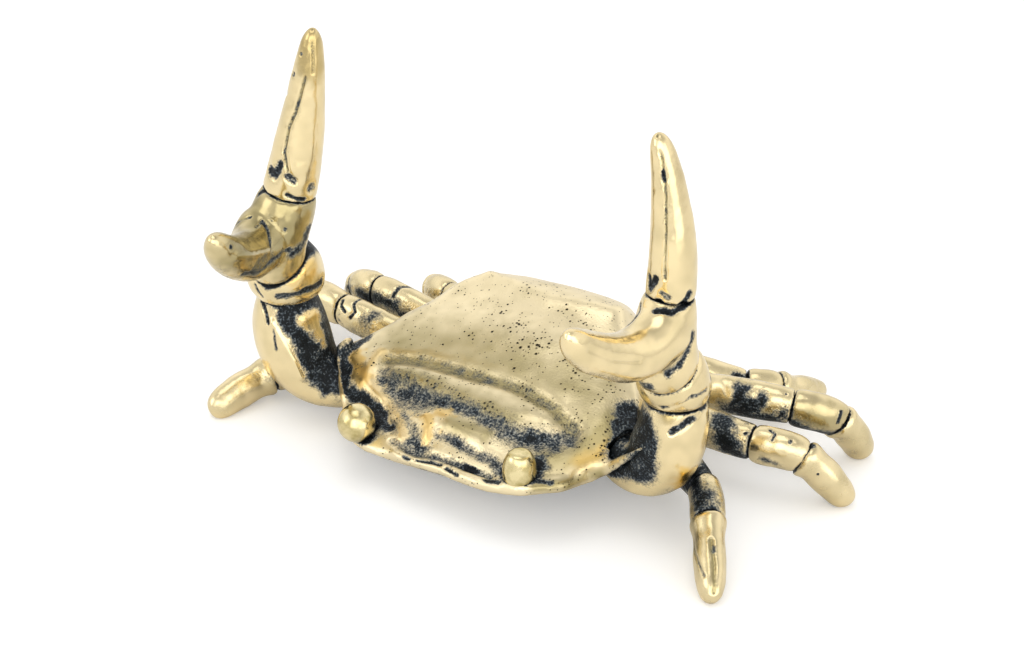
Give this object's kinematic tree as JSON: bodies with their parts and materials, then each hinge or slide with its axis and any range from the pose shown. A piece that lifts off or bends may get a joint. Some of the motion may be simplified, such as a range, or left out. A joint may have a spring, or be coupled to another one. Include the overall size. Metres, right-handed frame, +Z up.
{
  "type": "crab figurine",
  "caption": "Small cast brass crab with an antiqued finish that stands on its legs and holds both claws up as a pen rest.",
  "frame": {"origin": "on the ground, under the middle of the whole figure", "axes": "+X to the right as seen from the front, across the claws; -Y the way the face looks; +Z up"},
  "size_m": [0.0502, 0.034, 0.0316],
  "materials": {
    "antique_brass": "cast, blackened in the hollows and polished on the high places",
    "polished_brass": "polished"
  },
  "bodies": {
    "root": {"carapace": "antique_brass", "belly_plate": "antique_brass", "left_eye": "polished_brass", "left_claw_arm": "antique_brass", "left_claw_wrist": "antique_brass", "left_claw_palm": "antique_brass", "left_claw_finger": "antique_brass", "left_leg_1_thigh": "antique_brass", "left_leg_1_shin": "antique_brass", "left_leg_1_foot": "antique_brass", "left_leg_2_thigh": "antique_brass", "left_leg_2_shin": "antique_brass", "left_leg_2_foot": "antique_brass", "left_leg_3_thigh": "antique_brass", "left_leg_3_shin": "antique_brass", "left_leg_3_foot": "antique_brass", "left_leg_4_thigh": "antique_brass", "left_leg_4_shin": "antique_brass", "left_leg_4_foot": "antique_brass", "right_eye": "polished_brass", "right_claw_arm": "antique_brass", "right_claw_wrist": "antique_brass", "right_claw_palm": "antique_brass", "right_claw_finger": "antique_brass", "right_leg_1_thigh": "antique_brass", "right_leg_1_shin": "antique_brass", "right_leg_1_foot": "antique_brass", "right_leg_2_thigh": "antique_brass", "right_leg_2_shin": "antique_brass", "right_leg_2_foot": "antique_brass", "right_leg_3_thigh": "antique_brass", "right_leg_3_shin": "antique_brass", "right_leg_3_foot": "antique_brass", "right_leg_4_thigh": "antique_brass", "right_leg_4_shin": "antique_brass", "right_leg_4_foot": "antique_brass"}
  },
  "joints": []
}
